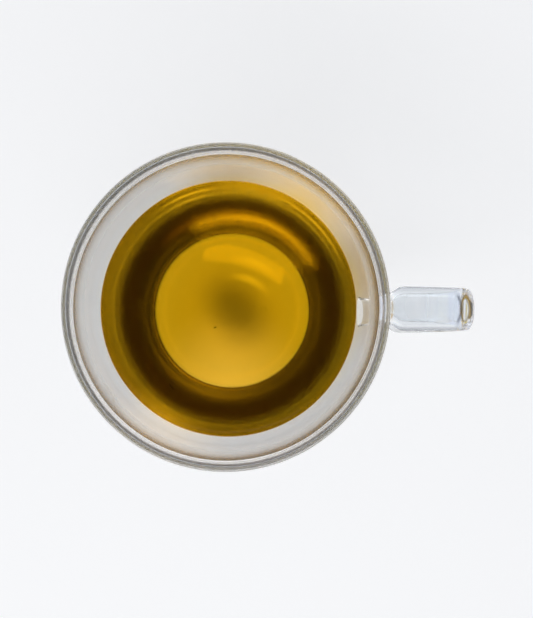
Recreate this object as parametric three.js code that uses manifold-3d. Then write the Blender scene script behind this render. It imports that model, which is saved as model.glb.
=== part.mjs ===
import * as THREE from 'three';
import { mergeVertices } from 'three/addons/utils/BufferGeometryUtils.js';
import Module from 'manifold-3d';

// Double walled glass tea cup with a strap handle, part filled with tea.
// Millimetres, +Z up, underside at Z = 0, handle towards +X.

// Cup: a bowl inside an outer wall, fused at the rim, with air between them
const RIM_RADIUS = 50; // outside of the lip
const RIM_HEIGHT = 67;
const LIP_ROUND = 0.95; // half the thickness of the lip
const WALL = 1.6; // thickness of each wall
const FUSED = 5.5; // how far below the rim the two walls part

// Inner bowl, inner face: a cone over a shallow round bottom
const TEA_LEVEL = 48.3;
const BOWL_LEAN = THREE.MathUtils.degToRad(25.2); // of the side, from upright
const BOTTOM_LEAN = THREE.MathUtils.degToRad(68); // of the bottom, from upright, where it nears the side
const CORNER_HEIGHT = 15; // where side and bottom would meet
const CORNER_REACH = 2.5; // how far the rounding between them reaches

// Outer wall, outer face
const FOOT_RADIUS = 30; // where wall and underside would meet
const FOOT_LEAN = THREE.MathUtils.degToRad(62);
const FOOT_PULL = 18;
const RIM_PULL = 34;
const FOOT_ROUND = 1.5;
const BASE = 2.4; // thickness under the air
const VENT = { x: 9.4, y: 0.8, radius: 0.6 }; // small hole in the underside that lets the air out

// Tea
const TEA_CLEAR = 0.3; // gap between tea and glass

// Handle: a strap that leaves the wall under the rim, runs level, drops and sweeps back to the wall
const STRAP_WIDTH = 13.6;
const STRAP_THICK = 5;
const STRAP_SQUARE = 2.1; // 2 is an ellipse, more is squarer
const STRAP_END = 76.4; // furthest reach from the cup's axis
const STRAP_TOP = 61.5; // upper face of the level stretch
const STRAP_DEPTH = 3.2; // how far its upper end starts inside the wall
const STRAP_BEND = 4.8; // corner between the level stretch and the drop
const STRAP_HANG = 26; // pull of the line as it drops
const LOWER_ROOT = { x: 41, z: 16.5 };
const LOWER_SWEEP = { x: 21, z: 2.5 }; // pull of the line as it comes back to the wall
const NECK_SHARE = 0.7; // width at the glass, as a share of the full width
const NECK_FROM = 49.8;
const NECK_TO = 53.8;
const END_SHARE = 0.95; // width at the drop

// Fineness
const TURNS = 60;
const BOTTOM_STEPS = 6;
const OUTER_STEPS = 12;
const LIP_STEPS = 6;
const ROUND_STEPS = 3;
const VENT_SIDES = 8;
const STRAP_STEPS = 40;
const SECTION_STEPS = 18;
const SHORTEST = 0.45; // least height between two points of a side

const wasm = await Module();
wasm.setup();

const lipCentre = new THREE.Vector2(RIM_RADIUS - LIP_ROUND, RIM_HEIGHT - LIP_ROUND);
const rimCorner = new THREE.Vector2(RIM_RADIUS, lipCentre.y);

function along(lean) {
  return new THREE.Vector2(Math.sin(lean), Math.cos(lean));
}

function outward(lean) {
  return new THREE.Vector2(Math.cos(lean), -Math.sin(lean));
}

function shifted(point, direction, distance) {
  return point.clone().addScaledVector(direction, distance);
}

// Where a wall of one lean, through a point, reaches a height.
function atHeight(point, lean, height) {
  return shifted(point, along(lean), (height - point.y) / Math.cos(lean));
}

// Points of a rising curve, moved outward by an offset.
function moved(curve, steps, offset) {
  const points = [];
  for (let step = 0; step <= steps; step += 1) {
    const tangent = curve.getTangent(step / steps);
    const normal = new THREE.Vector2(tangent.y, -tangent.x);
    points.push(shifted(curve.getPoint(step / steps), normal, offset));
  }
  return points;
}

// Bowl from the axis to the lip, moved outward from its inner face by an offset.
function bowlPoints(offset) {
  const top = shifted(lipCentre, outward(BOWL_LEAN), -LIP_ROUND);
  const meet = atHeight(top, BOWL_LEAN, CORNER_HEIGHT);
  const low = shifted(meet, along(BOTTOM_LEAN), -CORNER_REACH);
  const high = shifted(meet, along(BOWL_LEAN), CORNER_REACH);
  const radius = low.x / Math.cos(BOTTOM_LEAN);
  const centre = new THREE.Vector2(0, low.y + radius * Math.sin(BOTTOM_LEAN));
  const points = [];
  for (let step = 0; step < BOTTOM_STEPS; step += 1) {
    const slope = ((Math.PI / 2 - BOTTOM_LEAN) * step) / BOTTOM_STEPS;
    points.push(shifted(centre, new THREE.Vector2(Math.sin(slope), -Math.cos(slope)), radius + offset));
  }
  const corner = new THREE.QuadraticBezierCurve(low, meet, high);
  return [...points, ...moved(corner, ROUND_STEPS, offset), shifted(top, outward(BOWL_LEAN), offset)];
}

// Outer wall from the foot to the rim, moved outward from its outer face by an offset.
function outerPoints(offset) {
  const foot = new THREE.Vector2(FOOT_RADIUS, 0);
  const rise = shifted(foot, along(FOOT_LEAN), FOOT_PULL);
  const hang = new THREE.Vector2(RIM_RADIUS, rimCorner.y - RIM_PULL);
  return moved(new THREE.CubicBezierCurve(foot, rise, hang, rimCorner), OUTER_STEPS, offset);
}

// From the axis along a flat, round a corner and up the outer wall.
function outerSide(offset, height) {
  const wall = outerPoints(offset);
  const meet = atHeight(wall[0], FOOT_LEAN, height);
  const flat = new THREE.Vector2(meet.x - FOOT_ROUND, height);
  const rise = shifted(meet, along(FOOT_LEAN), FOOT_ROUND);
  const corner = new THREE.QuadraticBezierCurve(flat, meet, rise).getPoints(ROUND_STEPS);
  const rest = wall.filter((point) => point.y > rise.y + SHORTEST);
  return [new THREE.Vector2(0, height), ...corner, ...rest];
}

// Points between the ends of an arc that starts outward and turns inward over the top.
function roundPoints(centre, radius, sweep) {
  const points = [];
  for (let step = 1; step < LIP_STEPS; step += 1) {
    const angle = (sweep * step) / LIP_STEPS;
    points.push(shifted(centre, new THREE.Vector2(Math.cos(angle), Math.sin(angle)), radius));
  }
  return points;
}

// Air between the walls: along the base, up the outer wall, round under the rim and down the bowl.
function airPoints() {
  const top = RIM_HEIGHT - FUSED;
  const outer = outerSide(-WALL, BASE).filter((point) => point.y < top - SHORTEST);
  const bowl = bowlPoints(WALL).filter((point) => point.y < top - SHORTEST);
  const facing = new THREE.Vector2(RIM_RADIUS - WALL, top);
  const cone = atHeight(bowl[bowl.length - 1], BOWL_LEAN, top);
  const centre = facing.clone().add(cone).divideScalar(2);
  const crown = roundPoints(centre, facing.distanceTo(cone) / 2, Math.PI);
  return [...outer, facing, ...crown, cone, ...bowl.reverse()];
}

function teaPoints() {
  const side = bowlPoints(-TEA_CLEAR);
  const edge = atHeight(side[side.length - 1], BOWL_LEAN, TEA_LEVEL);
  const wet = side.filter((point) => point.y < TEA_LEVEL - SHORTEST);
  return [...wet, edge, new THREE.Vector2(0, TEA_LEVEL)];
}

function toSolid(geometry) {
  geometry.deleteAttribute('normal');
  geometry.deleteAttribute('uv');
  const merged = mergeVertices(geometry);
  const corners = merged.index.array;
  const triVerts = [];
  for (let i = 0; i < corners.length; i += 3) {
    const triangle = corners.slice(i, i + 3);
    if (new Set(triangle).size === triangle.length) {
      triVerts.push(...triangle);
    }
  }
  const vertProperties = new Float32Array(merged.attributes.position.array);
  const mesh = new wasm.Mesh({ numProp: 3, vertProperties, triVerts: new Uint32Array(triVerts) });
  return new wasm.Manifold(mesh);
}

function turned(profile) {
  const geometry = new THREE.LatheGeometry(profile, TURNS);
  geometry.rotateX(Math.PI / 2);
  return toSolid(geometry);
}

function strapLine() {
  const level = STRAP_TOP - STRAP_THICK / 2;
  const reach = STRAP_END - STRAP_THICK / 2;
  const point = (x, z) => new THREE.Vector3(x, 0, z);
  const root = point(RIM_RADIUS - STRAP_DEPTH, level);
  const edge = point(reach - STRAP_BEND, level);
  const corner = point(reach, level);
  const drop = point(reach, level - STRAP_BEND);
  const hang = point(reach, level - STRAP_BEND - STRAP_HANG);
  const sweep = point(LOWER_ROOT.x + LOWER_SWEEP.x, LOWER_ROOT.z + LOWER_SWEEP.z);
  const lower = point(LOWER_ROOT.x, LOWER_ROOT.z);
  const line = new THREE.CurvePath();
  line.add(new THREE.LineCurve3(root, edge));
  line.add(new THREE.QuadraticBezierCurve3(edge, corner, drop));
  line.add(new THREE.CubicBezierCurve3(drop, hang, sweep, lower));
  return line;
}

function strapSection() {
  const squared = (value) => Math.sign(value) * Math.abs(value) ** (2 / STRAP_SQUARE);
  const points = [];
  for (let step = 0; step < SECTION_STEPS; step += 1) {
    const angle = (2 * Math.PI * step) / SECTION_STEPS;
    const across = (STRAP_WIDTH / 2) * squared(Math.cos(angle));
    const through = (STRAP_THICK / 2) * squared(Math.sin(angle));
    points.push(new THREE.Vector2(through, across));
  }
  return new THREE.Shape(points);
}

function widthShare(x) {
  const neck = THREE.MathUtils.smoothstep(x, NECK_FROM, NECK_TO);
  const end = THREE.MathUtils.smoothstep(x, NECK_TO, STRAP_END);
  return THREE.MathUtils.lerp(NECK_SHARE, 1, neck) * THREE.MathUtils.lerp(1, END_SHARE, end);
}

function strap() {
  const settings = { steps: STRAP_STEPS, bevelEnabled: false, extrudePath: strapLine() };
  const geometry = new THREE.ExtrudeGeometry(strapSection(), settings);
  const position = geometry.attributes.position;
  for (let i = 0; i < position.count; i += 1) {
    position.setY(i, position.getY(i) * widthShare(position.getX(i)));
  }
  return toSolid(geometry);
}

function vent() {
  const geometry = new THREE.CylinderGeometry(VENT.radius, VENT.radius, 2 * BASE, VENT_SIDES);
  geometry.rotateX(Math.PI / 2);
  geometry.translate(VENT.x, VENT.y, BASE / 2);
  return toSolid(geometry);
}

// Both walls and the strap fused into one piece of glass. The strap's ends stop in the middle of the wall.
function glass() {
  const lip = roundPoints(lipCentre, LIP_ROUND, Math.PI - BOWL_LEAN);
  const body = turned([...outerSide(0, 0), ...lip, ...bowlPoints(0).reverse()]);
  const walls = body.subtract(turned(airPoints())).subtract(vent());
  const core = turned([...outerSide(-WALL / 2, BASE / 2), new THREE.Vector2(0, rimCorner.y)]);
  return walls.add(strap().subtract(core));
}

function toMesh(solid, name, finish) {
  const { vertProperties, triVerts } = solid.getMesh();
  const geometry = new THREE.BufferGeometry();
  geometry.setAttribute('position', new THREE.BufferAttribute(new Float32Array(vertProperties), 3));
  geometry.setIndex(new THREE.BufferAttribute(new Uint32Array(triVerts), 1));
  geometry.computeVertexNormals();
  const mesh = new THREE.Mesh(geometry, new THREE.MeshStandardMaterial(finish));
  mesh.name = name;
  return mesh;
}

const group = new THREE.Group();
group.name = 'tea_cup';
group.add(toMesh(glass(), 'cup', { color: 0xdde4ea, roughness: 0.05, metalness: 0 }));
group.add(toMesh(turned(teaPoints()), 'tea', { color: 0xc08a10, roughness: 0.1, metalness: 0 }));

export default group;
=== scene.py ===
"""Clear glass cup of amber tea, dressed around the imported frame. Metres, +Z up, handle towards +X."""

import logging
import math
from dataclasses import dataclass
from enum import Enum
from typing import Any, Sequence

import bmesh
import bpy
from mathutils import Matrix, Vector


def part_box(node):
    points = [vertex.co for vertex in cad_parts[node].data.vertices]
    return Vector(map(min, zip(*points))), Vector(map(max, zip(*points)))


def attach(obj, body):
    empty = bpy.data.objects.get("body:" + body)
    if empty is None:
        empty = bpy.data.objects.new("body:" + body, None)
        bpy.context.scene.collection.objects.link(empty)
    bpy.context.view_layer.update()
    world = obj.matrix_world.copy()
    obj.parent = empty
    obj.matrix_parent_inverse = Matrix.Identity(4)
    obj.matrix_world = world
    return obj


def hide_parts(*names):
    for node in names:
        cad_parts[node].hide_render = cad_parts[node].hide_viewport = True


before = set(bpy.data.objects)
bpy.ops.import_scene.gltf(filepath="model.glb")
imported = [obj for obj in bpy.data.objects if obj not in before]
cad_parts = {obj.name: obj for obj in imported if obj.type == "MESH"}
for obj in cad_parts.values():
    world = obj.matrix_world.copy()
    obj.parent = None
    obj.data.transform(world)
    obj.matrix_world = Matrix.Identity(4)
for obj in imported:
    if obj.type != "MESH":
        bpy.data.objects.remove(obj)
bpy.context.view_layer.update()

BODY = "root"
MM = 0.001
BOWL_LEAN = math.radians(25.2)
VENT_PLACE = (9.4 * MM, 0.8 * MM)
SHARP = math.radians(40)
MERGE = MM / 1000
NUDGE = 0.001
MIX_FROM = 6
MIX_TO = 7
MIX_RESULT = 2
Colour = tuple[float, float, float]
Place = tuple[float, float, float]
Span = tuple[float, float]
log = logging.getLogger("tea_cup")


class Slot(Enum):
    """Material slots of the record."""

    GLASS = "glass"
    TEA = "tea"


class Node(Enum):
    """Solids of the frame that the pieces stand for."""

    CUP = "cup"
    TEA = "tea"


class Meeting(Enum):
    """Ways in which a shape meets the glass."""

    CUT = "DIFFERENCE"
    FUSE = "UNION"


class Wire:
    """A node's output that takes part in Python expressions."""

    def __init__(self, bench: "Bench", socket: bpy.types.NodeSocket) -> None:
        """Keeps the socket and the bench that makes further nodes."""
        self.bench = bench
        self.socket = socket

    def _math(self, operation: str, first: Any, second: Any) -> "Wire":
        """Adds a Math node.

        Args:
            operation: Name of the node's operation.
            first: First wire or number.
            second: Second wire or number.

        Returns:
            The node's result.
        """
        return self.bench.node("ShaderNodeMath", {"operation": operation}, {0: first, 1: second})

    def __add__(self, other: Any) -> "Wire":
        """Sum with a wire or number."""
        return self._math("ADD", self, other)

    def __radd__(self, other: Any) -> "Wire":
        """Sum with a number on the left."""
        return self._math("ADD", other, self)

    def __sub__(self, other: Any) -> "Wire":
        """Difference to a wire or number."""
        return self._math("SUBTRACT", self, other)

    def __rsub__(self, other: Any) -> "Wire":
        """Difference from a number on the left."""
        return self._math("SUBTRACT", other, self)

    def __mul__(self, other: Any) -> "Wire":
        """Product with a wire or number."""
        return self._math("MULTIPLY", self, other)

    def __rmul__(self, other: Any) -> "Wire":
        """Product with a number on the left."""
        return self._math("MULTIPLY", other, self)

    def between(self, low: float, high: float) -> "Wire":
        """Smooth step of this value.

        Args:
            low: Value that gives 0.
            high: Value that gives 1.

        Returns:
            The step, from 0 to 1.
        """
        inputs = {"Value": self, "From Min": low, "From Max": high}
        return self.bench.node("ShaderNodeMapRange", {"interpolation_type": "SMOOTHSTEP"}, inputs)

    def hump(self, middle: float, reach: float) -> "Wire":
        """Soft hump of this value, 1 at the middle and 0 from the reach on."""
        return self.between(middle - reach, middle) * (1 - self.between(middle, middle + reach))

    def away(self, place: Place) -> "Wire":
        """Distance to a place, for a wire that holds coordinates."""
        settings = {"operation": "DISTANCE"}
        return self.bench.node("ShaderNodeVectorMath", settings, {0: self, 1: place}, "Value")


class Bench:
    """Node tree of one finish, with one method that makes any node."""

    def __init__(self, owner: bpy.types.Material | bpy.types.World) -> None:
        """Empties the owner's node tree and keeps it.

        Args:
            owner: Material or surroundings that the nodes belong to.
        """
        owner.use_nodes = True
        self.tree = owner.node_tree
        self.tree.nodes.clear()

    def node(
        self, kind: str, settings: dict | None = None, inputs: dict | None = None, output: Any = 0
    ) -> Wire:
        """Makes a node.

        Args:
            kind: The node's type.
            settings: The node's own properties, set first.
            inputs: Values or wires by socket name or index.
            output: Name or index of the socket that is handed back.

        Returns:
            The chosen output.
        """
        node = self.tree.nodes.new(kind)
        for name, value in (settings or {}).items():
            setattr(node, name, value)
        for key, value in (inputs or {}).items():
            if isinstance(value, Wire):
                self.tree.links.new(value.socket, node.inputs[key])
            else:
                node.inputs[key].default_value = value
        return Wire(self, node.outputs[output] if node.outputs else None)

    def noise(self, scale: float, detail: float = 2, stretch: Place = (1, 1, 1)) -> Wire:
        """Noise on the piece's own coordinates.

        Args:
            scale: Cells for each metre.
            detail: Octaves.
            stretch: Factor on each axis.

        Returns:
            Value around 0.5.
        """
        mapped = self.node("ShaderNodeMapping", {}, {"Vector": self.place(), "Scale": stretch})
        return self.node("ShaderNodeTexNoise", {}, {"Vector": mapped, "Scale": scale, "Detail": detail})

    def place(self) -> Wire:
        """The piece's own coordinates."""
        return self.node("ShaderNodeTexCoord", {}, {}, "Object")

    def blend(self, share: Any, low: Colour | Wire, high: Colour | Wire) -> Wire:
        """Mixes two colours.

        Args:
            share: Wire from 0 to 1.
            low: Colour at 0.
            high: Colour at 1.

        Returns:
            The mixed colour.
        """
        colours = [colour if isinstance(colour, Wire) else (*colour, 1) for colour in (low, high)]
        inputs = {"Factor": share, MIX_FROM: colours[0], MIX_TO: colours[1]}
        return self.node("ShaderNodeMix", {"data_type": "RGBA"}, inputs, MIX_RESULT)

    def waves(self, height: Wire, strength: float, depth: float) -> Wire:
        """Bends the normal over a height."""
        return self.node("ShaderNodeBump", {}, {"Height": height, "Strength": strength, "Distance": depth})

    def finish(self, surface: Wire, volume: Wire | None = None) -> None:
        """Joins the shaders to the output.

        Args:
            surface: Surface shader.
            volume: Volume shader of a filled piece.
        """
        inputs = {"Surface": surface}
        if volume:
            inputs["Volume"] = volume
        self.node("ShaderNodeOutputMaterial", {}, inputs)


class Where:
    """A piece's own coordinates as wires: the place, its reach, height, radius and distance aside."""

    def __init__(self, bench: Bench) -> None:
        """Makes the wires.

        Args:
            bench: Node tree that they belong to.
        """
        self.place = bench.place()
        self.reach, across, self.height = (
            bench.node("ShaderNodeSeparateXYZ", {}, {0: self.place}, axis) for axis in "XYZ"
        )
        self.aside = bench.node("ShaderNodeMath", {"operation": "ABSOLUTE"}, {0: across})
        flat = bench.node("ShaderNodeVectorMath", {"operation": "MULTIPLY"}, {0: self.place, 1: (1, 1, 0)})
        self.radius = bench.node("ShaderNodeVectorMath", {"operation": "LENGTH"}, {0: flat}, "Value")


@dataclass(frozen=True)
class Patch:
    """Soft round patch on a surface."""

    place: Place
    reach: float

    def on(self, place: Wire) -> Wire:
        """1 in the patch's middle, 0 from its reach on."""
        return 1 - place.away(self.place).between(0, self.reach)


@dataclass(frozen=True)
class ClearGlass:
    """Fire polished glass with slow waves in its skin, a ground foot and a rough seam under the rim; its
    colour holds painted light and shade: a painted highlight in the smears, a painted glow under the rim
    and on the strap's lower half, painted shade on the bowl's inner face, and painted reflection and shade
    on the strap, the lip and the strap's bend.
    """

    ior: float = 1.52
    tint: Colour = (0.985, 0.992, 0.99)
    wave_scale: float = 55
    wave_stretch: Place = (1, 1, 0.6)
    wave_strength: float = 0.25
    wave_depth: float = 0.04 * MM
    lean: float = BOWL_LEAN
    # The smears' cream tint is a painted highlight on the bowl above the tea.
    smear_highlight_tint: Colour = (0.93, 0.89, 0.82)
    smears: tuple[Patch, ...] = (
        Patch((-35.3 * MM, -26.7 * MM, 58.3 * MM), 5 * MM),
        Patch((-33.8 * MM, -30.8 * MM, 61.3 * MM), 5 * MM),
    )
    smear_scale: float = 900
    smear_detail: float = 3
    smear_breaks: Span = (0.45, 0.62)
    smear_rough: float = 0.25
    foot_radius: Span = (24 * MM, 27 * MM)
    foot_height: Span = (2.5 * MM, 4.5 * MM)
    foot_rough: float = 0.55
    seam_place: Span = (46.4 * MM, 60.3 * MM)
    seam_edge: float = 0.2 * MM
    seam_height: Span = (54 * MM, 57 * MM)
    seam_rough: float = 0.3
    bottom_radius: Span = (19 * MM, 23 * MM)
    bottom_height: Span = (6 * MM, 7 * MM)
    bottom_rough: float = 0.12
    skin_radius: float = 49.2 * MM
    # Painted light: a pale white that glows, in a band inside the outer wall below the rim and on the
    # strap's lower half.
    painted_glow_white: Colour = (0.96, 0.96, 0.95)
    painted_glow_colour: Colour = (0.4, 0.4, 0.405)
    painted_glow_radius: Span = (48.1 * MM, 48.3 * MM)
    painted_glow_middle: float = 57.2 * MM
    painted_glow_reach: float = 3.2 * MM
    painted_glow_share: float = 0.7
    # Painted shade: a dark tint on the bowl's inner face at the tea's edge and above the corner, thinned in
    # two patches of painted light and cleared in one patch above the corner.
    painted_shade_tint: Colour = (0.25, 0.25, 0.25)
    painted_shade_behind: Span = (17.4 * MM, 17.9 * MM)
    painted_shade_low: Span = (39 * MM, 40.6 * MM)
    painted_shade_high: Span = (48.5 * MM, 49.2 * MM)
    painted_shade_thin: tuple[Patch, ...] = (
        Patch((9.7 * MM, 36.2 * MM, 44 * MM), 24 * MM),
        Patch((-18.7 * MM, -32.5 * MM, 44 * MM), 15 * MM),
    )
    painted_shade_thin_share: float = 0.5
    # Gaps in the painted shade along two bands, which show as painted highlights.
    highlight_strip_heights: Span = (45.6 * MM, 41.8 * MM)
    highlight_strip_reach: float = 1.3 * MM
    highlight_strips: tuple[Patch, ...] = (
        Patch((-13 * MM, 35 * MM, 43.5 * MM), 15 * MM),
        Patch((26 * MM, 27 * MM, 43.5 * MM), 22 * MM),
    )
    corner_low: Span = (16 * MM, 18 * MM)
    corner_high: Span = (21.5 * MM, 26 * MM)
    corner_clear: Patch = Patch((-7 * MM, -26 * MM, 21 * MM), 24 * MM)
    strap_from: Span = (50.4 * MM, 52 * MM)
    # Painted reflection and shade on the strap: a blue-grey tint, darker grey sides and a bluer end.
    strap_reflection_tint: Colour = (0.92, 0.955, 0.99)
    strap_side_shade: Colour = (0.5, 0.52, 0.55)
    strap_side: Span = (3.6 * MM, 7 * MM)
    strap_end_reflection_tint: Colour = (0.78, 0.84, 1.0)
    strap_end: Span = (72 * MM, 73.5 * MM)
    # Below this height the strap takes the painted glow.
    strap_glow_top: Span = (20 * MM, 29 * MM)
    strap_glow_share: float = 0.35
    # Dark tint for the painted shade line across the strap's bend, and for the dark patch round the vent.
    dark_tint: Colour = (0.12, 0.125, 0.14)
    bend_middle: float = 71.7 * MM
    bend_reach: float = 0.9 * MM
    bend_curve: float = 59
    bend_height: Span = (55 * MM, 57 * MM)
    bend_side: Span = (3.2 * MM, 4.6 * MM)
    vent: Patch = Patch((*VENT_PLACE, 1.2 * MM), 1.8 * MM)
    # Painted shade: a dark line in the lip's crown.
    lip_shade_tint: Colour = (0.36, 0.37, 0.39)
    lip_inner: Span = (47.5 * MM, 47.8 * MM)
    lip_outer: Span = (48.4 * MM, 48.8 * MM)
    lip_from: Span = (64 * MM, 64.8 * MM)

    def material(self) -> bpy.types.Material:
        """Makes the finish.

        Returns:
            The material.
        """
        material = bpy.data.materials.new("clear_glass")
        bench = Bench(material)
        at = Where(bench)
        smear_and_highlight = self.smear_and_highlight(bench, at)
        wave = bench.noise(self.wave_scale, 1, self.wave_stretch)
        clear = bench.node("ShaderNodeBsdfPrincipled", {}, {
            # The smears' cream tint here is a painted highlight.
            "Base Color": bench.blend(smear_and_highlight, self.colour(bench, at), self.smear_highlight_tint),
            "Roughness": smear_and_highlight * self.smear_rough + self.rough(at),
            "IOR": self.ior,
            "Transmission Weight": 1.0,
            "Normal": bench.waves(wave, self.wave_strength, self.wave_depth),
        })
        # Painted light: pale diffuse white with its own glow, mixed into the glass.
        glowing = bench.node("ShaderNodeBsdfPrincipled", {}, {
            "Base Color": (*self.painted_glow_white, 1),
            "Roughness": 1.0,
            "Emission Color": (*self.painted_glow_colour, 1),
            "Emission Strength": 1.0,
        })
        bench.finish(bench.node("ShaderNodeMixShader", {}, {0: self.painted_glow(at), 1: clear, 2: glowing}))
        return material

    def behind(self, at: Where) -> Wire:
        """Radius at which the bowl's slope through a place would meet the ground."""
        return at.radius - at.height * math.tan(self.lean)

    def inside(self, at: Where) -> Wire:
        """1 within the outer wall, 0 on its outer face."""
        return 1 - at.radius.between(self.skin_radius - self.seam_edge, self.skin_radius)

    def smear_and_highlight(self, bench: Bench, at: Where) -> Wire:
        """Dried smears above the tea, broken up; their cream tint is a painted highlight on the bowl.

        Args:
            bench: The finish's node tree.
            at: Coordinates.

        Returns:
            1 in the smears and their painted highlight, 0 elsewhere.
        """
        spots = sum(patch.on(at.place) for patch in self.smears)
        broken = bench.noise(self.smear_scale, self.smear_detail).between(*self.smear_breaks)
        return spots * broken

    def rough(self, at: Where) -> Wire:
        """Roughness of the ground foot, the seam under the rim and the bowl's bottom.

        Args:
            at: Coordinates.

        Returns:
            The roughness.
        """
        foot = at.radius.between(*self.foot_radius) * (1 - at.height.between(*self.foot_height))
        start = self.seam_place[0] - self.seam_place[1] * math.tan(self.lean)
        seam = self.behind(at).between(start, start + self.seam_edge) * self.inside(at)
        seam = seam * at.height.between(*self.seam_height)
        bottom = (1 - at.radius.between(*self.bottom_radius)) * at.height.between(*self.bottom_height)
        return foot * self.foot_rough + seam * self.seam_rough + bottom * self.bottom_rough

    def painted_shade(self, at: Where) -> Wire:
        """Painted shade on the bowl's inner face: a dark band at the tea's edge and one above the corner,
        thinned in two patches of painted light and broken along two bands of painted highlight.

        Args:
            at: Coordinates.

        Returns:
            1 where the painted shade is full, 0 on clear glass.
        """
        edge = at.height.between(*self.painted_shade_low) * (1 - at.height.between(*self.painted_shade_high))
        for patch in self.painted_shade_thin:
            edge = edge * (1 - self.painted_shade_thin_share * patch.on(at.place))
        # Painted highlight: gaps in the painted shade along two bands.
        highlight_lines = sum(at.height.hump(middle, self.highlight_strip_reach) for middle in self.highlight_strip_heights)
        edge = edge * (1 - highlight_lines * sum(patch.on(at.place) for patch in self.highlight_strips))
        corner = at.height.between(*self.corner_low) * (1 - at.height.between(*self.corner_high))
        painted_shade = edge + corner * (1 - self.corner_clear.on(at.place))
        return painted_shade * (1 - self.behind(at).between(*self.painted_shade_behind))

    def colour(self, bench: Bench, at: Where) -> Wire:
        """Tint of the glass: plain walls, a painted blue-grey reflection on the strap with painted shade on
        its sides, a painted shade line at the lip, painted shade on the bowl's inner face, a painted shade
        line across the strap's bend and a dark patch round the vent.

        Args:
            bench: The finish's node tree.
            at: Coordinates.

        Returns:
            The tint.
        """
        # Painted reflection on the strap, painted shade on its sides and a bluer painted end.
        strap = bench.blend(at.aside.between(*self.strap_side), self.strap_reflection_tint, self.strap_side_shade)
        strap = bench.blend(at.reach.between(*self.strap_end), strap, self.strap_end_reflection_tint)
        tint = bench.blend(at.reach.between(*self.strap_from), self.tint, strap)
        # Painted shade line in the lip.
        line = at.radius.between(*self.lip_inner) * (1 - at.radius.between(*self.lip_outer))
        tint = bench.blend(line * at.height.between(*self.lip_from), tint, self.lip_shade_tint)
        # Painted shade on the bowl's inner face.
        tint = bench.blend(self.painted_shade(at), tint, self.painted_shade_tint)
        # Painted shade line across the strap's bend, and a dark patch round the vent.
        curved = at.reach + at.aside * at.aside * self.bend_curve
        bend = curved.hump(self.bend_middle, self.bend_reach) * at.height.between(*self.bend_height)
        bend = bend * (1 - at.aside.between(*self.bend_side))
        return bench.blend(bend + self.vent.on(at.place), tint, self.dark_tint)

    def painted_glow(self, at: Where) -> Wire:
        """Painted light: a pale glowing band inside the outer wall below the rim, and a glow on the strap's
        lower half.

        Args:
            at: Coordinates.

        Returns:
            Share of the painted glow, 0 on clear glass.
        """
        ring = at.radius.between(*self.painted_glow_radius) * self.inside(at)
        ring = ring * at.height.hump(self.painted_glow_middle, self.painted_glow_reach) * self.painted_glow_share
        strap = at.reach.between(*self.strap_from) * (1 - at.height.between(*self.strap_glow_top))
        return ring + strap * self.strap_glow_share


@dataclass(frozen=True)
class AmberTea:
    """Clear tea that swallows blue and some green along the way, with a still surface."""

    ior: float = 1.333
    absorbed: Colour = (0.978, 0.873, 0.15)
    density: float = 100.0
    clear_tint: Colour = (1, 1, 1)
    cloud_tint: Colour = (0.985, 0.98, 0.965)
    cloud_scale: float = 70
    cloud_span: Span = (0.35, 0.75)
    ripple_scale: float = 90
    ripple_strength: float = 0.2
    ripple_depth: float = 0.03 * MM

    def material(self) -> bpy.types.Material:
        """Makes the finish.

        Returns:
            The material.
        """
        material = bpy.data.materials.new("amber_tea")
        bench = Bench(material)
        cloud = bench.noise(self.cloud_scale).between(*self.cloud_span)
        ripple = bench.noise(self.ripple_scale, 1)
        surface = bench.node("ShaderNodeBsdfPrincipled", {}, {
            "Base Color": bench.blend(cloud, self.clear_tint, self.cloud_tint),
            "Roughness": 0.0,
            "IOR": self.ior,
            "Transmission Weight": 1.0,
            "Normal": bench.waves(ripple, self.ripple_strength, self.ripple_depth),
        })
        inputs = {"Color": (*self.absorbed, 1), "Density": self.density}
        bench.finish(surface, bench.node("ShaderNodeVolumeAbsorption", {}, inputs))
        return material


@dataclass(frozen=True)
class DarkLeaf:
    """Wet tea leaf, dark brown with lighter veins."""

    dark: Colour = (0.03, 0.017, 0.006)
    light: Colour = (0.09, 0.05, 0.015)
    vein_scale: float = 3000
    vein_stretch: Place = (1, 4, 1)
    vein_span: Span = (0.4, 0.7)
    rough: float = 0.5
    vein_rough: float = 0.2

    def material(self) -> bpy.types.Material:
        """Makes the finish.

        Returns:
            The material.
        """
        material = bpy.data.materials.new("dark_leaf")
        bench = Bench(material)
        vein = bench.noise(self.vein_scale, 2, self.vein_stretch).between(*self.vein_span)
        surface = bench.node("ShaderNodeBsdfPrincipled", {}, {
            "Base Color": bench.blend(vein, self.dark, self.light),
            "Roughness": self.rough + vein * self.vein_rough,
        })
        bench.finish(surface)
        return material


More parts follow.
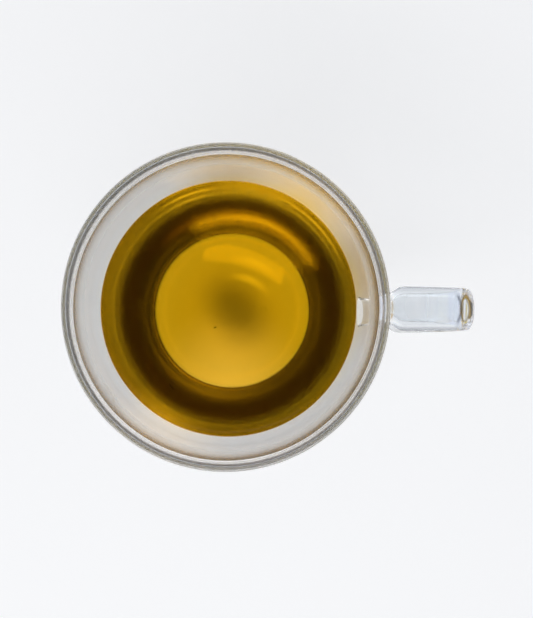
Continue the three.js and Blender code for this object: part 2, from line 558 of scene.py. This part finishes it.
@dataclass(frozen=True)
class PaleFloor:
    """Matt white sheet under the cup that glows evenly, with the cup's shade, the light through the tea and
    a dimming far away all painted into its glow.
    """

    colour: Colour = (0.4, 0.404, 0.41)
    shade: Colour = (0.39, 0.394, 0.4)
    fibre_scale: float = 400
    fibre_detail: float = 3
    rough: float = 0.25
    specular: float = 0.5
    glow: Colour = (0.75, 0.757, 0.772)
    # Painted light: warm light through the tea, painted into the floor's glow under the cup.
    warm_glow: Colour = (0.6, 0.46, 0.03)
    warm_place: Place = (1 * MM, 1 * MM, 0)
    warm_reach: Span = (24 * MM, 30 * MM)
    # Painted shade of the cup in the floor's glow around the tea.
    shade_glow: Colour = (0.51, 0.53, 0.56)
    shade_place: Place = (-3.8 * MM, 2.1 * MM, 0)
    shade_reach: Span = (52 * MM, 56.5 * MM)
    # Painted tinted light around the tea: tan, gold and cream patches in the floor's glow.
    tan_glow: Colour = (0.46, 0.33, 0.16)
    tans: tuple[Patch, ...] = (
        Patch((44 * MM, 14 * MM, 0), 34 * MM),
        Patch((-2 * MM, 44 * MM, 0), 26 * MM),
    )
    gold_glow: Colour = (0.84, 0.55, 0.16)
    gold: Patch = Patch((23 * MM, 39 * MM, 0), 28 * MM)
    cream_glow: Colour = (0.82, 0.72, 0.6)
    cream: Patch = Patch((-22 * MM, -38 * MM, 0), 24 * MM)
    # Painted shade: a dark blotch in the middle of the warm glow.
    dark_glow: Colour = (0.1, 0.08, 0.0)
    dark_share: float = 0.6
    darks: tuple[Patch, ...] = (
        Patch((3 * MM, -2 * MM, 0), 13 * MM),
        Patch((-2 * MM, 4 * MM, 0), 13 * MM),
    )
    # Painted light: a lighter edge of the warm glow.
    light_glow: Colour = (0.9, 0.72, 0.6)
    light: Patch = Patch((-1 * MM, -20 * MM, 0), 25 * MM)
    # Painted highlights: two bright arcs in the warm glow.
    arc_glow: Colour = (0.97, 0.74, 0.08)
    arc_middle: Place = (-0.3 * MM, -2.1 * MM, 0)
    arc_width: float = 2 * MM
    arcs: tuple[Patch, ...] = (
        Patch((5 * MM, 10.3 * MM, 0), 9 * MM),
        Patch((7.4 * MM, 15.2 * MM, 0), 12 * MM),
    )
    arc_shares: Span = (0.9, 0.6)
    # Painted dimming: the floor's glow falls off away from the cup.
    far_glow: Colour = (0.3, 0.303, 0.31)
    far_reach: Span = (0.13, 0.4)

    def material(self) -> bpy.types.Material:
        """Makes the finish.

        Returns:
            The material.
        """
        material = bpy.data.materials.new("pale_floor")
        bench = Bench(material)
        fibre = bench.noise(self.fibre_scale, self.fibre_detail)
        here = bench.place()
        centre = here.away(self.warm_place)
        warmth = centre.between(*self.warm_reach)
        # Painted light and shade under and around the cup.
        near = bench.blend(warmth, self.under(bench, here), self.ring(bench, here))
        near = bench.blend(here.away(self.shade_place).between(*self.shade_reach), near, self.glow)
        surface = bench.node("ShaderNodeBsdfPrincipled", {}, {
            "Base Color": bench.blend(fibre, self.shade, self.colour),
            "Roughness": self.rough,
            "Specular IOR Level": self.specular,
            # The glow fades to the dimmer far floor, a painted falloff.
            "Emission Color": bench.blend(centre.between(*self.far_reach), near, self.far_glow),
            "Emission Strength": 1.0,
        })
        bench.finish(surface)
        return material

    def under(self, bench: Bench, here: Wire) -> Wire:
        """Painted light under the tea: a warm glow with a painted dark middle, a lighter edge and two
        painted bright arcs.

        Args:
            bench: The finish's node tree.
            here: Coordinates.

        Returns:
            The light's colour.
        """
        under = bench.blend(self.light.on(here), self.warm_glow, self.light_glow)
        for patch in self.darks:
            under = bench.blend(self.dark_share * patch.on(here), under, self.dark_glow)
        for patch, share in zip(self.arcs, self.arc_shares):
            radius = (Vector(patch.place) - Vector(self.arc_middle)).length
            arc = here.away(self.arc_middle).hump(radius, self.arc_width)
            under = bench.blend(share * arc * patch.on(here), under, self.arc_glow)
        return under

    def ring(self, bench: Bench, here: Wire) -> Wire:
        """Painted shade of the cup around the tea, with patches of painted tan, gold and cream light.

        Args:
            bench: The finish's node tree.
            here: Coordinates.

        Returns:
            The light's colour.
        """
        ring = self.shade_glow
        for patch in self.tans:
            ring = bench.blend(patch.on(here), ring, self.tan_glow)
        ring = bench.blend(self.gold.on(here), ring, self.gold_glow)
        return bench.blend(self.cream.on(here), ring, self.cream_glow)


def along(lean: float) -> Vector:
    """Direction up a wall that leans outward by an angle from upright."""
    return Vector((math.sin(lean), math.cos(lean)))


def outward(lean: float) -> Vector:
    """Direction out of a wall that leans outward by an angle from upright."""
    return Vector((math.cos(lean), -math.sin(lean)))


def at_height(point: Vector, lean: float, height: float) -> Vector:
    """Point where a straight wall of one lean, through a point, reaches a height."""
    return point + along(lean) * ((height - point.y) / math.cos(lean))


def bezier(handles: Sequence[Vector], share: float) -> Vector:
    """Point of a curve, found by stepping between its handles.

    Args:
        handles: The curve's handles, two to four of them.
        share: Place on the curve, from 0 to 1.

    Returns:
        The point.
    """
    row = list(handles)
    while len(row) > 1:
        row = [first.lerp(second, share) for first, second in zip(row, row[1:])]
    return row[0]


def smooth_share(value: float, low: float, high: float) -> float:
    """Smooth step from 0 at low to 1 at high."""
    share = min(1.0, max(0.0, (value - low) / (high - low)))
    return share * share * (3 - 2 * share)


def to_object(name: str, shape: bmesh.types.BMesh) -> bpy.types.Object:
    """Turns a bmesh into an object with smooth faces.

    Args:
        name: Name of the piece.
        shape: The mesh, which is freed.

    Returns:
        The object, linked to the scene.
    """
    for face in shape.faces:
        face.smooth = True
    mesh = bpy.data.meshes.new(name)
    shape.to_mesh(mesh)
    shape.free()
    piece = bpy.data.objects.new(name, mesh)
    bpy.context.scene.collection.objects.link(piece)
    return piece


def spun(name: str, profile: Sequence[Vector], turns: int) -> bpy.types.Object:
    """Spins a row of points, from axis to axis, into a closed piece.

    Args:
        name: Name of the piece.
        profile: Points of radius and height.
        turns: Steps of the full turn.

    Returns:
        The piece.
    """
    shape = bmesh.new()
    verts = [shape.verts.new((point.x, 0, point.y)) for point in profile]
    edges = [shape.edges.new(pair) for pair in zip(verts, verts[1:])]
    bmesh.ops.spin(
        shape, geom=verts + edges, cent=(0, 0, 0), axis=(0, 0, 1), dvec=(0, 0, 0),
        angle=math.tau, steps=turns, use_merge=True, use_duplicate=False,
    )
    bmesh.ops.remove_doubles(shape, verts=shape.verts, dist=MERGE)
    bmesh.ops.recalc_face_normals(shape, faces=shape.faces)
    return to_object(name, shape)


def dress(piece: bpy.types.Object, material: bpy.types.Material) -> None:
    """Gives a piece its finish and its body.

    Args:
        piece: The piece.
        material: Its finish.
    """
    piece.data.materials.clear()
    piece.data.materials.append(material)
    piece.data.set_sharp_from_angle(angle=SHARP)
    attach(piece, BODY)
    log.info("%s: %d faces", piece.name, len(piece.data.polygons))


@dataclass
class Walls:
    """Inner bowl and outer wall of the cup in section, as points of radius and height."""

    rim_radius: float
    rim_height: float
    tea_level: float
    lip_round: float = 0.95 * MM
    thick: float = 1.6 * MM
    fused: float = 5.5 * MM
    bowl_lean: float = BOWL_LEAN
    bottom_lean: float = math.radians(68)
    corner_height: float = 15 * MM
    corner_reach: float = 2.5 * MM
    foot_radius: float = 30 * MM
    foot_lean: float = math.radians(62)
    foot_pull: float = 18 * MM
    rim_pull: float = 34 * MM
    foot_round: float = 1.5 * MM
    base: float = 2.4 * MM
    vent_place: Span = VENT_PLACE
    vent_radius: float = 0.6 * MM
    curve_steps: int = 36
    cone_steps: int = 12
    round_steps: int = 8
    lip_steps: int = 18

    @property
    def lip_centre(self) -> Vector:
        """Middle of the rounded lip."""
        return Vector((self.rim_radius - self.lip_round, self.rim_height - self.lip_round))

    @property
    def spare(self) -> float:
        """Least gap that is left between a row's end and the point that closes it."""
        return self.thick / 4

    def moved(self, handles: Sequence[Vector], offset: float) -> list[Vector]:
        """Points of a rising curve, moved outward.

        Args:
            handles: The curve's handles.
            offset: Distance outward.

        Returns:
            The points, upward.
        """
        row = []
        for step in range(self.curve_steps + 1):
            share = step / self.curve_steps
            before, after = (bezier(handles, min(1, max(0, share + nudge))) for nudge in (-NUDGE, NUDGE))
            tangent = (after - before).normalized()
            row.append(bezier(handles, share) + Vector((tangent.y, -tangent.x)) * offset)
        return row

    def bowl(self, offset: float) -> list[Vector]:
        """Bowl from the axis to the lip: a round bottom, a tight corner and a cone.

        Args:
            offset: Distance outward from its inner face.

        Returns:
            The points, upward.
        """
        top = self.lip_centre - outward(self.bowl_lean) * self.lip_round
        meet = at_height(top, self.bowl_lean, self.corner_height)
        low = meet - along(self.bottom_lean) * self.corner_reach
        high = meet + along(self.bowl_lean) * self.corner_reach
        radius = low.x / math.cos(self.bottom_lean)
        centre = Vector((0, low.y + radius * math.sin(self.bottom_lean)))
        sweep = math.pi / 2 - self.bottom_lean
        slopes = [sweep * step / self.curve_steps for step in range(self.curve_steps)]
        row = [centre - Vector((-math.sin(slope), math.cos(slope))) * (radius + offset) for slope in slopes]
        row += self.moved([low, meet, high], offset)
        cone = [high.lerp(top, step / self.cone_steps) for step in range(1, self.cone_steps + 1)]
        return row + [point + outward(self.bowl_lean) * offset for point in cone]

    def outer(self, offset: float) -> list[Vector]:
        """Outer wall from the foot to the rim.

        Args:
            offset: Distance outward from its outer face.

        Returns:
            The points, upward.
        """
        foot, rim = Vector((self.foot_radius, 0)), Vector((self.rim_radius, self.lip_centre.y))
        rise = foot + along(self.foot_lean) * self.foot_pull
        return self.moved([foot, rise, rim - Vector((0, self.rim_pull)), rim], offset)

    def side(self, offset: float, height: float) -> list[Vector]:
        """From the axis along a flat, round a corner and up the outer wall.

        Args:
            offset: Distance outward from the outer face.
            height: Height of the flat.

        Returns:
            The points.
        """
        wall = self.outer(offset)
        meet = at_height(wall[0], self.foot_lean, height)
        start, end = meet - Vector((self.foot_round, 0)), meet + along(self.foot_lean) * self.foot_round
        steps = range(self.round_steps + 1)
        corner = [bezier([start, meet, end], step / self.round_steps) for step in steps]
        rest = [point for point in wall if point.y > corner[-1].y + self.spare]
        return [Vector((0, height)), *corner, *rest]

    def rounded(self, centre: Vector, radius: float, sweep: float) -> list[Vector]:
        """Points between the ends of an arc that starts outward and turns inward over the top.

        Args:
            centre: Middle of the arc.
            radius: Its radius.
            sweep: Its angle.

        Returns:
            The points.
        """
        angles = [sweep * step / self.lip_steps for step in range(1, self.lip_steps)]
        return [centre + Vector((math.cos(angle), math.sin(angle))) * radius for angle in angles]

    def air(self) -> list[Vector]:
        """Air between the walls: along the base, up, round under the rim and down the bowl.

        Returns:
            The points, from axis to axis.
        """
        top = self.rim_height - self.fused
        outer = [point for point in self.side(-self.thick, self.base) if point.y < top - self.spare]
        bowl = [point for point in self.bowl(self.thick) if point.y < top - self.spare]
        facing = Vector((self.rim_radius - self.thick, top))
        cone = at_height(bowl[-1], self.bowl_lean, top)
        crown = self.rounded(facing.lerp(cone, 0.5), (facing - cone).length / 2, math.pi)
        return [*outer, facing, *crown, cone, *bowl[::-1]]

    def body(self) -> list[Vector]:
        """Outline of the cup without the air, from axis to axis."""
        lip = self.rounded(self.lip_centre, self.lip_round, math.pi - self.bowl_lean)
        return self.side(0, 0) + lip + self.bowl(0)[::-1]

    def vent(self) -> list[Vector]:
        """Outline of the small hole in the underside, about its own axis.

        Returns:
            The points, from axis to axis.
        """
        low, high = -self.base / 2, self.base * 3 / 2
        wide = self.vent_radius
        return [Vector((0, low)), Vector((wide, low)), Vector((wide, high)), Vector((0, high))]

    def seat(self, height: float) -> float:
        """Radius of the middle of the outer wall at a height.

        Args:
            height: The height.

        Returns:
            The radius.
        """
        row = self.outer(-self.thick / 2)
        for low, high in zip(row, row[1:]):
            if low.y <= height <= high.y:
                return low.lerp(high, (height - low.y) / (high.y - low.y)).x
        return row[-1].x


@dataclass
class Strap:
    """Glass handle that leaves the wall under the rim, runs level, drops and sweeps back."""

    reach: float
    walls: Walls
    width: float = 13.6 * MM
    thick: float = 5 * MM
    square: float = 2.1
    below_rim: float = 5.5 * MM
    bend: float = 4.8 * MM
    hang: float = 26 * MM
    lower_root: Span = (41 * MM, 16.5 * MM)
    lower_sweep: Span = (21 * MM, 2.5 * MM)
    neck_share: float = 0.7
    neck_from: float = 49.8 * MM
    neck_to: float = 53.8 * MM
    end_share: float = 0.95
    flare: float = 0.16
    flare_reach: float = 0.7 * MM
    ring_points: int = 40
    line_steps: int = 16
    bend_steps: int = 14
    sweep_steps: int = 56

    def line(self) -> list[Vector]:
        """Middle line of the strap outside the wall, as points of reach and height.

        Returns:
            The points, from the upper to the lower root.
        """
        level = self.walls.rim_height - self.below_rim - self.thick / 2
        drop = self.reach - self.thick / 2
        root, edge = Vector((self.walls.seat(level), level)), Vector((drop - self.bend, level))
        fall, lower = Vector((drop, level - self.bend)), Vector(self.lower_root)
        sweep = [fall, fall - Vector((0, self.hang)), lower + Vector(self.lower_sweep), lower]
        curves = [
            ([root, edge], self.line_steps),
            ([edge, Vector((drop, level)), fall], self.bend_steps),
            (sweep, self.sweep_steps),
        ]
        row = [root]
        for handles, steps in curves:
            row += [bezier(handles, step / steps) for step in range(1, steps + 1)]
        return [row[0]] + [point for point in row[1:] if point.x > self.walls.seat(point.y)]

    def share(self, x: float) -> float:
        """Width at a reach, as a share of the full width.

        Args:
            x: The reach.

        Returns:
            The share.
        """
        neck = smooth_share(x, self.neck_from, self.neck_to)
        end = smooth_share(x, self.neck_to, self.reach)
        return (self.neck_share + (1 - self.neck_share) * neck) * (1 + (self.end_share - 1) * end)

    def squared(self, value: float) -> float:
        """Pushes a sine or cosine outward, which makes a round outline a little square."""
        return math.copysign(abs(value) ** (2 / self.square), value)

    def ring(self, middle: Vector, tangent: Vector, grow: float) -> list[Vector]:
        """Outline of the strap across its middle line.

        Args:
            middle: Point of the middle line.
            tangent: Direction of the line there.
            grow: Factor on the outline.

        Returns:
            The outline's points.
        """
        points = []
        for step in range(self.ring_points):
            angle = math.tau * step / self.ring_points
            across, through = self.squared(math.cos(angle)), self.squared(math.sin(angle))
            depth = through * self.thick / 2 * grow
            x, z = middle.x - tangent.y * depth, middle.y + tangent.x * depth
            points.append(Vector((x, across * self.width / 2 * self.share(x) * grow, z)))
        return points

    def seated(self, point: Vector) -> Vector:
        """Moves a point along the reach into the middle of the wall."""
        return Vector((math.sqrt(self.walls.seat(point.z) ** 2 - point.y ** 2), point.y, point.z))

    def build(self) -> bpy.types.Object:
        """Lofts the outline along the line, with both ends seated in the wall.

        Returns:
            The strap, closed.
        """
        line = self.line()
        walked = [0.0]
        for first, second in zip(line, line[1:]):
            walked.append(walked[-1] + (second - first).length)
        rings = []
        for index, middle in enumerate(line):
            tangent = (line[min(index + 1, len(line) - 1)] - line[max(index - 1, 0)]).normalized()
            away = min(walked[index], walked[-1] - walked[index])
            rings.append(self.ring(middle, tangent, 1 + self.flare * math.exp(-away / self.flare_reach)))
        rings[0] = [self.seated(point) for point in rings[0]]
        rings[-1] = [self.seated(point) for point in rings[-1]]
        return self.lofted(rings)

    def lofted(self, rings: Sequence[Sequence[Vector]]) -> bpy.types.Object:
        """Bridges the outlines into one closed skin.

        Args:
            rings: Outlines with as many points each.

        Returns:
            The skin.
        """
        shape = bmesh.new()
        loops = []
        for ring in rings:
            verts = [shape.verts.new(point) for point in ring]
            loops.append([shape.edges.new(pair) for pair in zip(verts, verts[1:] + verts[:1])])
        for first, second in zip(loops, loops[1:]):
            bmesh.ops.bridge_loops(shape, edges=first + second)
        bmesh.ops.holes_fill(shape, edges=shape.edges, sides=self.ring_points)
        bmesh.ops.recalc_face_normals(shape, faces=shape.faces)
        return to_object("strap", shape)


@dataclass
class GlassCup:
    """Both walls and the handle, fused into one piece of glass."""

    walls: Walls
    strap: Strap
    finish: ClearGlass
    turns: int = 160
    vent_turns: int = 24

    def build(self) -> bpy.types.Object:
        """Spins the walls, cuts the air and the vent, fuses the handle and dresses the piece.

        Returns:
            The glass.
        """
        glass = spun("glass_cup", self.walls.body(), self.turns)
        vent = spun("vent", self.walls.vent(), self.vent_turns)
        vent.data.transform(Matrix.Translation((*self.walls.vent_place, 0)))
        self.join(glass, spun("air", self.walls.air(), self.turns), Meeting.CUT)
        self.join(glass, vent, Meeting.CUT)
        self.join(glass, self.strap.build(), Meeting.FUSE)
        dress(glass, self.finish.material())
        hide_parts(Node.CUP.value)
        return glass

    def join(self, glass: bpy.types.Object, tool: bpy.types.Object, meeting: Meeting) -> None:
        """Cuts a shape out of the glass, or fuses it on.

        Args:
            glass: The glass, which takes the new mesh.
            tool: The shape, which is removed.
            meeting: Whether the shape cuts or fuses.
        """
        change = glass.modifiers.new(tool.name, "BOOLEAN")
        change.operation = meeting.value
        change.solver = "EXACT"
        change.object = tool
        bpy.context.view_layer.update()
        mesh = bpy.data.meshes.new_from_object(glass.evaluated_get(bpy.context.evaluated_depsgraph_get()))
        glass.modifiers.clear()
        glass.data = mesh
        bpy.data.objects.remove(tool)


@dataclass
class TeaFill:
    """Tea up to its level, with the edge drawn up the glass."""

    walls: Walls
    finish: AmberTea
    into_wall: float = 0.06 * MM
    climb: float = 0.8 * MM
    climb_reach: float = 1.6 * MM
    surface_steps: int = 40
    surface_span: float = 14 * MM
    turns: int = 160

    def build(self) -> bpy.types.Object:
        """Spins the tea and dresses it.

        Returns:
            The tea.
        """
        side = self.walls.bowl(self.into_wall)
        edge = at_height(side[-1], self.walls.bowl_lean, self.walls.tea_level + self.climb)
        wet = [point for point in side if point.y < edge.y - self.climb / 4]
        tea = spun("tea_fill", wet + self.surface(edge), self.turns)
        dress(tea, self.finish.material())
        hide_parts(Node.TEA.value)
        return tea

    def surface(self, edge: Vector) -> list[Vector]:
        """Still surface from the edge on the glass to the axis.

        Args:
            edge: Where the tea ends on the glass.

        Returns:
            The points, inward.
        """
        row = []
        for step in range(self.surface_steps + 1):
            away = self.surface_span * (step / self.surface_steps) ** 2
            rise = self.climb * math.exp(-away / self.climb_reach)
            row.append(Vector((edge.x - away, self.walls.tea_level + rise)))
        return row + [Vector((row[-1].x / 2, self.walls.tea_level)), Vector((0, self.walls.tea_level))]


@dataclass
class LeafCrumb:
    """Crumb of tea leaf that lies on the bottom of the bowl, sunk in the tea."""

    walls: Walls
    finish: DarkLeaf
    place: Span = (-5.8 * MM, -5.4 * MM)
    size: Place = (0.55 * MM, 0.2 * MM, 0.12 * MM)
    turn: float = math.radians(25)
    taper: float = 0.3
    curl: float = 0.6
    lift: float = 0.05 * MM
    splits: int = 3

    def build(self) -> bpy.types.Object:
        """Shapes the crumb as a curled flake and dresses it.

        Returns:
            The crumb.
        """
        shape = bmesh.new()
        bmesh.ops.create_icosphere(shape, subdivisions=self.splits, radius=1)
        for vert in shape.verts:
            x, y, z = vert.co
            vert.co = (x, y * (1 - self.taper * x), z + self.curl * (x * x - y * y))
        away = math.hypot(*self.place)
        floor = max(point.y for point in self.walls.bowl(0) if point.x <= away)
        move = Matrix.Translation((*self.place, floor + self.lift + self.size[2] * (1 + self.curl)))
        matrix = move @ Matrix.Rotation(self.turn, 4, "Z") @ Matrix.Diagonal((*self.size, 1))
        bmesh.ops.transform(shape, verts=shape.verts, matrix=matrix)
        crumb = to_object("leaf_crumb", shape)
        dress(crumb, self.finish.material())
        return crumb


@dataclass
class Studio:
    """Floor, soft light and camera."""

    rim_height: float
    floor_size: float = 6.0
    floor_drop: float = 0.05 * MM
    bounces: int = 40
    glossy_bounces: int = 20
    camera_above: float = 0.530
    camera_aside: Span = (0.0304, -0.0165)
    camera_slope: Span = (-0.0336, 0.0299)
    camera_roll: float = math.radians(0.45)
    lens: float = 102.2
    clip_start: float = 0.01
    light_turn: float = math.radians(252)
    light_away: float = 0.9
    key_rise: float = math.radians(43)
    key_size: Span = (1.2, 0.3)
    key_radiance: float = 2.9
    pane_rise: float = math.radians(10.5)
    pane_size: Span = (0.33, 0.085)
    pane_spread: float = math.radians(24)
    panes: int = 4
    pane_radiance: float = 1.9
    high_turn: float = math.radians(85)
    high_rise: float = math.radians(72)
    high_size: Span = (0.55, 0.14)
    high_radiance: float = 0.35
    pale: Colour = (0.85, 0.86, 0.88)
    dim: Colour = (0.028, 0.028, 0.03)
    dim_from: Span = (20, 30)

    def build(self) -> None:
        """Lays the floor and sets light and camera."""
        self.floor()
        self.sky()
        self.lamps()
        self.camera()
        cycles = bpy.context.scene.cycles
        cycles.max_bounces = self.bounces
        cycles.transmission_bounces = self.bounces
        cycles.glossy_bounces = self.glossy_bounces
        bpy.context.scene.view_settings.view_transform = "Standard"

    def floor(self) -> None:
        """Lays a pale floor just under the cup."""
        shape = bmesh.new()
        bmesh.ops.create_grid(shape, x_segments=1, y_segments=1, size=self.floor_size / 2)
        bmesh.ops.translate(shape, verts=shape.verts, vec=(0, 0, -self.floor_drop))
        floor = to_object("floor", shape)
        floor.data.materials.append(PaleFloor().material())

    def sky(self) -> None:
        """Sets a soft room: pale around, dim overhead."""
        world = bpy.data.worlds.new("soft_room")
        bpy.context.scene.world = world
        bench = Bench(world)
        direction = bench.node("ShaderNodeTexCoord", {}, {}, "Generated")
        height = bench.node("ShaderNodeSeparateXYZ", {}, {0: direction}, "Z")
        start, end = (math.sin(math.radians(angle)) for angle in self.dim_from)
        colour = bench.blend(height.between(start, end), self.pale, self.dim)
        background = bench.node("ShaderNodeBackground", {}, {"Color": colour})
        bench.node("ShaderNodeOutputWorld", {}, {"Surface": background})

    def lamps(self) -> None:
        """Hangs a soft key, a high pane across from it and a row of low panes under the key."""
        self.pane("key", self.light_turn, self.key_rise, self.key_size, self.key_radiance)
        self.pane("high", self.high_turn, self.high_rise, self.high_size, self.high_radiance)
        for index in range(self.panes):
            turn = self.light_turn + (index - (self.panes - 1) / 2) * self.pane_spread
            self.pane(f"pane_{index}", turn, self.pane_rise, self.pane_size, self.pane_radiance)

    def pane(self, name: str, turn: float, rise: float, size: Sequence[float], radiance: float) -> None:
        """Hangs a soft pane that faces the cup.

        Args:
            name: Name of the pane.
            turn: Angle around the cup.
            rise: Angle above the floor.
            size: Width and height.
            radiance: Brightness of its face.
        """
        lamp = bpy.data.lights.new(name, "AREA")
        lamp.shape = "RECTANGLE"
        lamp.size, lamp.size_y = size
        lamp.energy = radiance * math.pi * size[0] * size[1]
        level = math.cos(rise)
        place = Vector((level * math.cos(turn), level * math.sin(turn), math.sin(rise))) * self.light_away
        pane = bpy.data.objects.new(name, lamp)
        pane.location = place
        pane.rotation_euler = (-place).to_track_quat("-Z", "Y").to_euler()
        bpy.context.scene.collection.objects.link(pane)

    def camera(self) -> None:
        """Sets the camera almost straight above."""
        data = bpy.data.cameras.new("camera")
        data.lens = self.lens
        data.clip_start = self.clip_start
        camera = bpy.data.objects.new("camera", data)
        bpy.context.scene.collection.objects.link(camera)
        bpy.context.scene.camera = camera
        back = -Vector((*self.camera_slope, -1)).normalized()
        right = Vector((0, 1, 0)).cross(back).normalized()
        turn = Matrix((right, back.cross(right), back)).transposed().to_4x4()
        place = Vector((*self.camera_aside, self.rim_height + self.camera_above))
        camera.matrix_world = Matrix.Translation(place) @ turn @ Matrix.Rotation(self.camera_roll, 4, "Z")


def main() -> None:
    """Builds the pieces in order."""
    logging.basicConfig(level=logging.INFO)
    low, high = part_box(Node.CUP.value)
    tea_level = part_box(Node.TEA.value)[1].z
    walls = Walls(rim_radius=-low.x, rim_height=high.z, tea_level=tea_level)
    GlassCup(walls, Strap(reach=high.x, walls=walls), ClearGlass()).build()
    TeaFill(walls, AmberTea()).build()
    LeafCrumb(walls, DarkLeaf()).build()
    Studio(rim_height=high.z).build()


if __name__ == "__main__":
    main()
